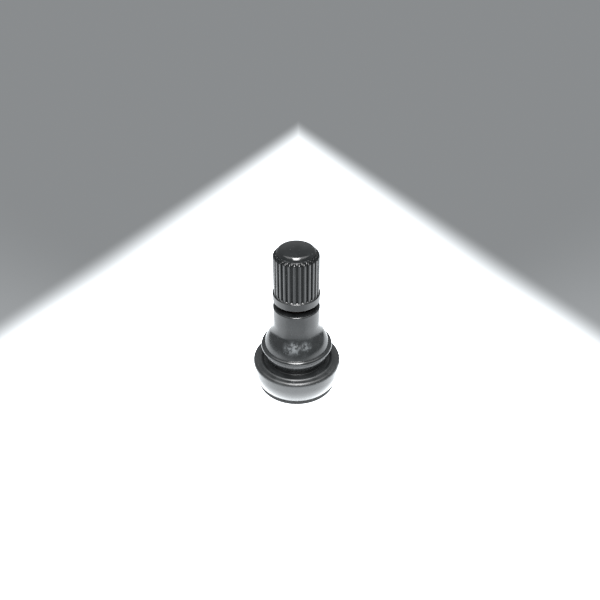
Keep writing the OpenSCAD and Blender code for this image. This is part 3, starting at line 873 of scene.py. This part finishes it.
def bulb_corners(rubber):
    """Corners of the bulb and neck from the foot of the groove's flank to the top of the neck."""
    rim, under, ledge = rubber.rim_radius, rubber.rim_under, rubber.rim_round
    groove_top = rubber.base_height + rubber.groove_height
    crease_r = rim - rubber.ledge_width
    crease_z = groove_top + rubber.rim_height
    flank, flank_r = rubber.flank_round, rim - under
    flank_lean = math.degrees(math.acos(1 - (flank_r - rubber.groove_radius) / flank))
    low, high = rubber.foot_lean, rubber.flare_lean
    drop = crease_r - rubber.neck_radius - rubber.flare_round * (1 - math.cos(high))
    swell = drop / (math.cos(low) - math.cos(high))
    swell_middle = (crease_r - swell * math.cos(low), crease_z - swell * math.sin(low))
    flare_middle = (rubber.neck_radius + rubber.flare_round, BODY_TOP - rubber.neck_height)
    low, high = math.degrees(low), math.degrees(high)
    return [
        *arc((flank_r - flank, groove_top - rubber.flank_height), flank, -flank_lean, 0),
        *arc((flank_r, groove_top + under), under, -90, 0),
        *arc((rim - ledge, crease_z - ledge), ledge, 0, 90),
        (crease_r, crease_z, KEEN),
        *arc(swell_middle, swell, low, high, 24)[1:],
        *arc(flare_middle, rubber.flare_round, 180 + high, 180, 24)[1:],
        (rubber.neck_radius, BODY_TOP, rubber.neck_round)]


def hollow_corners(rubber, stem):
    """Corners of the rubber's hollow, from the top of the neck down the stem to the air hole."""
    hole = rubber.air_hole_radius
    return [(stem.shank_radius, BODY_TOP, CRISP), *reversed(shank_corners(stem)),
            (hole, STEM_FOOT), (hole, rubber.air_hole_chamfer, SOFT)]


def nick_lip(piece):
    """Dents the lip's edge once, on the right."""
    x, y = LIP_RADIUS * math.cos(NICK_ANGLE), LIP_RADIUS * math.sin(NICK_ANGLE)
    middle = Vector((x, y, NICK_HEIGHT))
    for vertex in piece.data.vertices:
        near = math.exp(-((vertex.co - middle).length / NICK_REACH) ** 2)
        if near > 0.01:
            vertex.co -= Vector((vertex.co.x, vertex.co.y, 0.0)).normalized() * (NICK_DEPTH * near)


class VALVE_OT_rubber_body(bpy.types.Operator):
    """Turn the rubber body with its base, rim groove, bulb and neck"""
    bl_idname = "valve.rubber_body"
    bl_label = "Rubber body"

    def execute(self, context):
        scene = context.scene
        rubber = scene.valve_rubber
        corners = base_corners(rubber) + bulb_corners(rubber) + hollow_corners(rubber, scene.valve_stem)
        body = turned_ring("valve_rubber", corners, ROUND_BODY, 12, STRETCH_BODY)
        nick_lip(body)
        finish = rubber_material(scene.valve_colours, rubber.base_height)
        seat(body, finish, "rubber_body", "valve_body")
        return {"FINISHED"}


# Brass stem

class VALVE_OT_brass_stem(bpy.types.Operator):
    """Turn the brass stem and cut its cap thread and core thread"""
    bl_idname = "valve.brass_stem"
    bl_label = "Brass stem"

    def execute(self, context):
        scene = context.scene
        stem, core = scene.valve_stem, scene.valve_core
        thread_z = BODY_TOP + stem.relief_length
        chamfer, mouth = stem.thread_chamfer, stem.mouth_chamfer
        step_z = PLUG_TOP - core.bridge_height - core.thread_length - stem.core_room
        corners = shank_corners(stem) + [
            (stem.shank_radius, thread_z),
            (stem.thread_radius, thread_z + chamfer),
            (stem.thread_radius, STEM_TIP - chamfer),
            (stem.thread_radius - chamfer, STEM_TIP, KEEN),
            (stem.bore_radius + mouth, STEM_TIP, CRISP),
            (stem.bore_radius, STEM_TIP - mouth),
            (stem.bore_radius, step_z),
            (stem.cone_radius, step_z - stem.cone_step),
            (stem.seat_radius, BARREL_SEAL_FOOT),
            (stem.seat_radius, STEM_FOOT + 2 * stem.foot_bevel),
            (stem.seat_radius + stem.foot_bevel, STEM_FOOT)]
        piece = turned_ring("valve_stem", corners, ROUND_THREAD, 4, STRETCH_STEM)
        # Painted shade on the stem, from below the cap's mouth up into the cap
        gap_shade_top = CAP_MOUTH + stem.gap_shade_length
        brass = brass_material("stem_brass", scene.valve_colours, STEM_FILM, CAP_MOUTH, gap_shade_top)
        run_tree(piece, "Screw thread", {
            "Pitch": stem.thread_pitch, "Depth": stem.thread_depth, "Radius": stem.thread_radius,
            "Bottom": thread_z + chamfer - stem.thread_start,
            "Top": STEM_TIP - chamfer + stem.thread_end, "Material": brass})
        run_tree(piece, "Screw thread", {
            "Pitch": stem.core_pitch, "Depth": stem.core_depth, "Radius": stem.bore_radius,
            "Bottom": step_z, "Top": STEM_TIP - mouth, "Material": brass})
        seat(piece, brass, "brass_stem", "valve_body")
        return {"FINISHED"}


# Valve core

def core_head(core, stem):
    """The threaded head, not yet joined: a turned plug, and for it a bridge with two flats."""
    thread_top = PLUG_TOP - core.bridge_height
    thread_foot = thread_top - core.thread_length
    chamfer = stem.mouth_chamfer
    neck = PLUG_RADIUS - chamfer
    flange_top = PLUG_FOOT + core.flange_height
    bore_foot = thread_top - core.head_bore_depth
    plug = turned_ring("core_head", [
        (core.air_way, PLUG_FOOT),
        (core.swivel_flange, PLUG_FOOT, CRISP),
        (core.swivel_flange, flange_top, CRISP),
        (core.swivel_radius, flange_top),
        (core.swivel_radius, thread_foot),
        (neck, thread_foot),
        (PLUG_RADIUS, thread_foot + chamfer),
        (PLUG_RADIUS, thread_top - chamfer),
        (neck, thread_top, CRISP),
        (core.head_bore, thread_top, CRISP),
        (core.head_bore, bore_foot),
        (core.air_way, bore_foot)], ROUND_THREAD, 4, STRETCH_HEAD)
    hole = core.pin_radius + core.running_gap
    bridge = turned_ring("core_bridge", [
        (hole, thread_top - chamfer),
        (neck, thread_top - chamfer),
        (neck, PLUG_TOP, core.bridge_round),
        (hole, PLUG_TOP, EASED)], ROUND_THREAD, 5)
    half = core.bridge_width / 2
    for vertex in bridge.data.vertices:
        vertex.co.y = max(-half, min(half, vertex.co.y))
    return plug, bridge, thread_foot, thread_top


def join(first, second):
    """Adds the second piece's mesh to the first, and removes the second."""
    made = bmesh.new()
    made.from_mesh(first.data)
    made.from_mesh(second.data)
    bmesh.ops.dissolve_degenerate(made, edges=made.edges, dist=1e-7)
    made.to_mesh(first.data)
    made.free()
    bpy.data.objects.remove(second)
    first.data.set_sharp_from_angle(angle=SHARP)
    return first


def barrel_corners(core):
    """Corners of the barrel: nose, seal groove and rolled collar outside, chamber inside."""
    groove = core.barrel_radius - core.seal_groove
    cavity = core.swivel_flange + core.running_gap
    lip = core.swivel_radius + core.running_gap
    lip_z = BARREL_TOP - core.collar_wall
    floor_z = BARREL_SEAL_TOP + core.collar_wall
    chamber_z = BARREL_FOOT + core.nose_height
    return [
        (core.nose_hole, BARREL_FOOT, CRISP),
        (core.nose_hole + core.nose_ring, BARREL_FOOT, EASED),
        (core.barrel_radius, BARREL_FOOT + core.nose_height / 2, SOFT),
        (core.barrel_radius, BARREL_SEAL_FOOT),
        (groove, BARREL_SEAL_FOOT),
        (groove, BARREL_SEAL_TOP),
        (COLLAR_RADIUS, BARREL_SEAL_TOP, KEEN),
        (COLLAR_RADIUS, lip_z, BLUNT),
        (lip + core.collar_wall / 2, BARREL_TOP, SOFT),
        (lip, BARREL_TOP, RAZOR),
        (lip, lip_z),
        (cavity, lip_z),
        (cavity, floor_z),
        (core.air_way, floor_z),
        (core.air_way, BARREL_SEAL_TOP),
        (core.chamber_radius, BARREL_SEAL_TOP),
        (core.chamber_radius, chamber_z),
        (core.nose_hole, chamber_z)]


def barrel_seal_corners(core):
    """Corners of the cone-shaped seal in its groove."""
    groove = core.barrel_radius - core.seal_groove
    return [
        (groove, BARREL_SEAL_FOOT),
        (BARREL_SEAL_RADIUS - core.seal_taper, BARREL_SEAL_FOOT, KEEN),
        (BARREL_SEAL_RADIUS, BARREL_SEAL_TOP, KEEN),
        (groove, BARREL_SEAL_TOP)]


def pin_corners(core):
    """Corners of the pin from its riveted foot to its rounded tip."""
    pin = core.pin_radius
    rivet_z = PIN_FOOT + core.rivet_height
    collar_z = SPRING_TOP + TOUCH
    return [
        (0.0, PIN_FOOT),
        (core.rivet_radius, PIN_FOOT, core.rivet_round),
        (core.rivet_radius, rivet_z, EASED),
        (pin, rivet_z),
        (pin, collar_z),
        (PIN_COLLAR_RADIUS, collar_z, EASED),
        (PIN_COLLAR_RADIUS, collar_z + core.pin_collar, EASED),
        (pin, collar_z + core.pin_collar),
        (pin, PIN_TIP, pin / 2),
        (0.0, PIN_TIP)]


def cup_corners(core):
    """Corners of the cup that holds the washer."""
    inner = CUP_RADIUS - core.cup_wall
    return [
        (core.pin_radius, CUP_FOOT),
        (inner, CUP_FOOT, EASED),
        (CUP_RADIUS, CUP_FOOT + core.cup_wall, EASED),
        (CUP_RADIUS, CUP_TOP, EASED),
        (inner, CUP_TOP, EASED),
        (inner, CUP_SEAL_FOOT),
        (core.pin_radius, CUP_SEAL_FOOT)]


def cup_washer_corners(core):
    """Corners of the washer in the cup."""
    return [
        (core.pin_radius, CUP_SEAL_FOOT),
        (CUP_SEAL_RADIUS, CUP_SEAL_FOOT, KEEN),
        (CUP_SEAL_RADIUS, CUP_SEAL_TOP, KEEN),
        (core.pin_radius, CUP_SEAL_TOP, KEEN)]


def wind_spring(core, steel):
    """Winds the spring at its rest length. The real spring shortens as the pin is pressed; the pin's travel
    is read from the frame, but nothing here shortens it.
    """
    mesh = bpy.data.meshes.new("core_coil_spring")
    spring = bpy.data.objects.new("core_coil_spring", mesh)
    bpy.context.scene.collection.objects.link(spring)
    length = SPRING_TOP - SPRING_FOOT
    run_tree(spring, "Coil spring", {
        "Turns": float(core.spring_turns), "Coil radius": core.coil_radius, "Wire radius": core.wire_radius,
        "Bottom": SPRING_FOOT, "Length": length, "Material": steel})
    seat(spring, steel, "core_spring", "core_body")
    travel = next(j for j in frame["joints"] if j["name"] == "pin_press")["range_m"][1]
    1 - travel / length
    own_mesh(spring)


class VALVE_OT_valve_core(bpy.types.Operator):
    """Turn the core's head, barrel, seals, cup and pin, and wind its spring"""
    bl_idname = "valve.valve_core"
    bl_label = "Valve core"

    def execute(self, context):
        core = context.scene.valve_core
        stem = context.scene.valve_stem
        colours = context.scene.valve_colours
        brass = brass_material("core_brass", colours, CORE_FILM)
        steel = steel_material(colours)
        rubber = washer_material("seal_rubber", colours.washer, WASHER_ROUGH)
        white = washer_material("barrel_seal_plastic", colours.ptfe, SEAL_ROUGH)
        head, bridge, thread_foot, thread_top = core_head(core, stem)
        run_tree(head, "Screw thread", {
            "Pitch": stem.core_pitch, "Depth": stem.core_depth, "Radius": PLUG_RADIUS,
            "Bottom": thread_foot, "Top": thread_top, "Material": brass})
        seat(join(head, bridge), brass, "core_plug", "core_head")
        barrel = turned_ring("core_barrel_tube", barrel_corners(core), ROUND_CORE)
        seat(barrel, brass, "core_barrel", "core_body")
        seal = turned_ring("core_barrel_seal", barrel_seal_corners(core), ROUND_CORE)
        seat(seal, white, "barrel_seal", "core_body")
        pin = turned("core_pin_rod", rounded(pin_corners(core)), even_angles(ROUND_PIN))
        seat(pin, steel, "core_pin", "valve_pin")
        cup = turned_ring("core_seal_cup", cup_corners(core), ROUND_PIN)
        seat(cup, brass, "seal_cup", "valve_pin")
        washer = turned_ring("core_cup_washer", cup_washer_corners(core), ROUND_PIN)
        seat(washer, rubber, "cup_seal", "valve_pin")
        wind_spring(core, steel)
        return {"FINISHED"}


# Cap

def cap_outline(cap):
    """Outline of the cap from the middle of its crown, down the ribs, and up its bore to the ceiling."""
    shoulder_z = CAP_MOUTH + cap.shoulder_height
    crown_z = shoulder_z + cap.crown_edge
    band_z = CAP_MOUTH + cap.band_height
    top = 90 - math.degrees(cap.crown_slope)
    edge_middle = cap.crown_radius - cap.crown_round
    top_radius = edge_middle + cap.crown_round * math.cos(math.radians(top))
    dome = top_radius / math.cos(math.radians(top))
    crown = arc((0.0, CAP_TOP - dome), dome, 90, top, 10)
    crown += arc((edge_middle, crown_z), cap.crown_round, top, 0, 14)
    rib_top = cap.rib_radius - cap.rib_draft
    drop, mouth = cap.shoulder_drop, cap.mouth_chamfer
    ceiling = CAP_SEAL_TOP + TOUCH
    bore_top = STEM_TIP - cap.bore_stop
    skirt = rounded([
        (cap.crown_radius, crown_z),
        (cap.crown_radius, shoulder_z, SOFT),
        (rib_top - drop, shoulder_z, BLUNT),
        (rib_top, shoulder_z - drop, cap.shoulder_round),
        (cap.rib_radius, band_z + cap.band_step, CRISP),
        (BAND_RADIUS, band_z, cap.band_round),
        (BAND_RADIUS, CAP_MOUTH, cap.band_round),
        (cap.bore_radius + mouth, CAP_MOUTH, EASED),
        (cap.bore_radius, CAP_MOUTH + mouth),
        (cap.bore_radius, bore_top),
        (cap.recess_radius, bore_top + cap.bore_radius - cap.recess_radius),
        (cap.recess_radius, ceiling, SOFT),
        (0.0, ceiling)], steps=6)
    return crown + skirt[1:]


def rib_angles(cap):
    """Angles of the cap's points, closer at the edges of each groove, and two shares of a rib's pitch."""
    pitch = FULL_TURN / cap.ribs
    share = cap.rib_gap / (pitch * cap.rib_radius)
    edge = cap.rib_soft / (pitch * cap.rib_radius) / 2
    half = share / 2
    steps = [-half - edge, -half - edge / 2, -half, -half + edge / 2, -half + edge, 0.0]
    steps += [-s for s in reversed(steps[:-1])] + [0.5]
    first = cap.rib_turn - math.pi / 2
    return [first + (i + s) * pitch for i in range(cap.ribs) for s in steps], share, edge


class VALVE_OT_cap(bpy.types.Operator):
    """Turn the cap, sink its grip grooves, cut its thread and turn its washer"""
    bl_idname = "valve.cap"
    bl_label = "Ribbed cap"

    def execute(self, context):
        cap = context.scene.valve_cap
        stem = context.scene.valve_stem
        plastic = plastic_material(context.scene.valve_colours, cap)
        angles, share, edge = rib_angles(cap)
        piece = turned("cap_shell", divided(cap_outline(cap), STRETCH_CAP), angles)
        run_tree(piece, "Grip ribs", {
            "Count": float(cap.ribs), "Groove share": share, "Edge share": edge, "Depth": cap.rib_depth,
            "Turn": cap.rib_turn - math.pi / 2, "Bottom": CAP_MOUTH + cap.band_height,
            "Top": CAP_MOUTH + cap.shoulder_height + GROOVE_END,
            "Inner limit": cap.crown_radius + GROOVE_STOP, "Material": plastic})
        run_tree(piece, "Screw thread", {
            "Pitch": stem.thread_pitch, "Depth": stem.thread_depth, "Radius": cap.bore_radius,
            "Bottom": CAP_MOUTH + cap.thread_start, "Top": STEM_TIP - cap.thread_end, "Material": plastic})
        seat(piece, plastic, "cap", "screw_cap")
        washer = turned_ring("cap_washer_ring", [
            (cap.washer_hole, CAP_SEAL_FOOT, EASED), (CAP_SEAL_RADIUS, CAP_SEAL_FOOT, EASED),
            (CAP_SEAL_RADIUS, CAP_SEAL_TOP, EASED), (cap.washer_hole, CAP_SEAL_TOP, EASED)], ROUND_CORE)
        seat(washer, bpy.data.materials["seal_rubber"], "cap_seal", "cap_washer")
        return {"FINISHED"}


# Stage

def floor_material(stage):
    """A glowing floor, white round the object, dark under its foot and grey far off."""
    material = bpy.data.materials.new("stage_floor")
    material.use_nodes = True
    tree = material.node_tree
    tree.nodes.clear()
    place = object_place(tree)
    away = place.length()
    across, along, _ = place.parts()
    aside = abs(across) + along * stage.aside_lean
    wide = aside.ramp(stage.aside_inner, stage.aside_outer, stage.floor, stage.floor_aside)
    ahead = along * -1.0 / away
    close = away.ramp(stage.glow_inner, stage.glow_outer, stage.front_share, 1.0)
    front = close.math("MINIMUM", ahead.ramp(*FRONT_FAN, 1.0, stage.front_share))
    behind = ahead.ramp(*BACK_FAN, stage.back_share, 1.0)
    near = along.ramp(-stage.front_outer, -stage.front_inner, stage.front_low, 1.0)
    squeezed = {0: across / stage.glow_stretch, 1: along - stage.glow_back}
    from_glow = node(tree, "ShaderNodeCombineXYZ", squeezed).length()
    glow = from_glow.ramp(stage.glow_inner, stage.glow_outer, stage.glow, 0.0)
    shade = away.ramp(stage.shade_inner, stage.shade_outer, stage.shade, 1.0)
    strength = (wide * (front * behind * near) + glow) * shade
    shine = node(tree, "ShaderNodeEmission", {"Color": FLOOR_COLOUR, "Strength": strength})
    add(tree, "ShaderNodeOutputMaterial", {"Surface": shine})
    return material


def lay_floor(stage):
    """A round floor that isn't part of the object."""
    made = bmesh.new()
    bmesh.ops.create_circle(made, cap_ends=True, segments=64, radius=FLOOR_RADIUS)
    mesh = bpy.data.meshes.new("stage_floor")
    made.to_mesh(mesh)
    made.free()
    floor = bpy.data.objects.new("stage_floor", mesh)
    floor.data.materials.append(floor_material(stage))
    bpy.context.scene.collection.objects.link(floor)


def place_camera(stage):
    """A camera that looks down at the object from the front."""
    aim = Vector((stage.aim_side, 0.0, stage.aim_height))
    back = Vector((0.0, -math.cos(stage.camera_tilt), math.sin(stage.camera_tilt)))
    camera = bpy.data.objects.new("camera", bpy.data.cameras.new("camera"))
    camera.data.sensor_width = stage.sensor
    camera.data.lens = stage.focal
    camera.data.clip_start = stage.clip
    camera.location = aim + back * stage.camera_distance
    camera.rotation_euler = (-back).to_track_quat("-Z", "Y").to_euler()
    bpy.context.scene.collection.objects.link(camera)
    bpy.context.scene.camera = camera


def hang_lamp(stage, name, power, height, width, depth):
    """An oblong lamp on the camera's side of the object, turned towards it."""
    lamp = bpy.data.objects.new(name, bpy.data.lights.new(name, "AREA"))
    lamp.data.shape = "RECTANGLE"
    lamp.data.energy = power
    lamp.data.size = width
    lamp.data.size_y = depth
    rise = Vector((0.0, -math.cos(height), math.sin(height)))
    lamp.location = Vector((0.0, 0.0, stage.aim_height)) + rise * stage.lamp_distance
    lamp.rotation_euler = (math.pi / 2 - height, 0.0, 0.0)
    bpy.context.scene.collection.objects.link(lamp)


class VALVE_OT_stage(bpy.types.Operator):
    """Set the floor, the camera, the room light and the lamps"""
    bl_idname = "valve.stage"
    bl_label = "Stage"

    def execute(self, context):
        scene = context.scene
        stage = scene.valve_stage
        lay_floor(stage)
        place_camera(stage)
        hang_lamp(stage, "panel", stage.panel, stage.panel_height, stage.panel_width, stage.panel_depth)
        hang_lamp(stage, "lamp", stage.lamp, stage.lamp_height, stage.lamp_width, stage.lamp_depth)
        scene.world = scene.world or bpy.data.worlds.new("room")
        scene.world.use_nodes = True
        sky = scene.world.node_tree.nodes["Background"]
        fill(sky, {"Color": SKY_COLOUR, "Strength": stage.sky})
        scene.view_settings.view_transform = "Standard"
        return {"FINISHED"}


class VALVE_PT_panel(bpy.types.Panel):
    """Lists the operators in the order they are run, and the sizes and settings"""
    bl_idname = "VALVE_PT_panel"
    bl_label = "Tyre valve"
    bl_space_type = "VIEW_3D"
    bl_region_type = "UI"
    bl_category = "Tyre valve"

    def draw(self, context):
        for operator in OPERATORS:
            self.layout.operator(operator.bl_idname)
        for name in PROPERTY_NAMES:
            settings = getattr(context.scene, name)
            box = self.layout.box()
            for setting in settings.__annotations__:
                box.prop(settings, setting)


OPERATORS = (VALVE_OT_rubber_body, VALVE_OT_brass_stem, VALVE_OT_valve_core, VALVE_OT_cap, VALVE_OT_stage)
PROPERTY_NAMES = {
    "valve_rubber": RubberSizes, "valve_stem": StemSizes, "valve_core": CoreSizes, "valve_cap": CapSizes,
    "valve_colours": FinishColours, "valve_stage": StageSettings}
CLASSES = (*PROPERTY_NAMES.values(), *OPERATORS, VALVE_PT_panel)


def register():
    for cls in CLASSES:
        bpy.utils.register_class(cls)
    for name, settings in PROPERTY_NAMES.items():
        setattr(bpy.types.Scene, name, bpy.props.PointerProperty(type=settings))


def unregister():
    for name in PROPERTY_NAMES:
        delattr(bpy.types.Scene, name)
    for cls in reversed(CLASSES):
        bpy.utils.unregister_class(cls)


def main():
    register()
    bpy.ops.valve.rubber_body()
    bpy.ops.valve.brass_stem()
    bpy.ops.valve.valve_core()
    bpy.ops.valve.cap()
    bpy.ops.valve.stage()


if __name__ == "__main__":
    main()
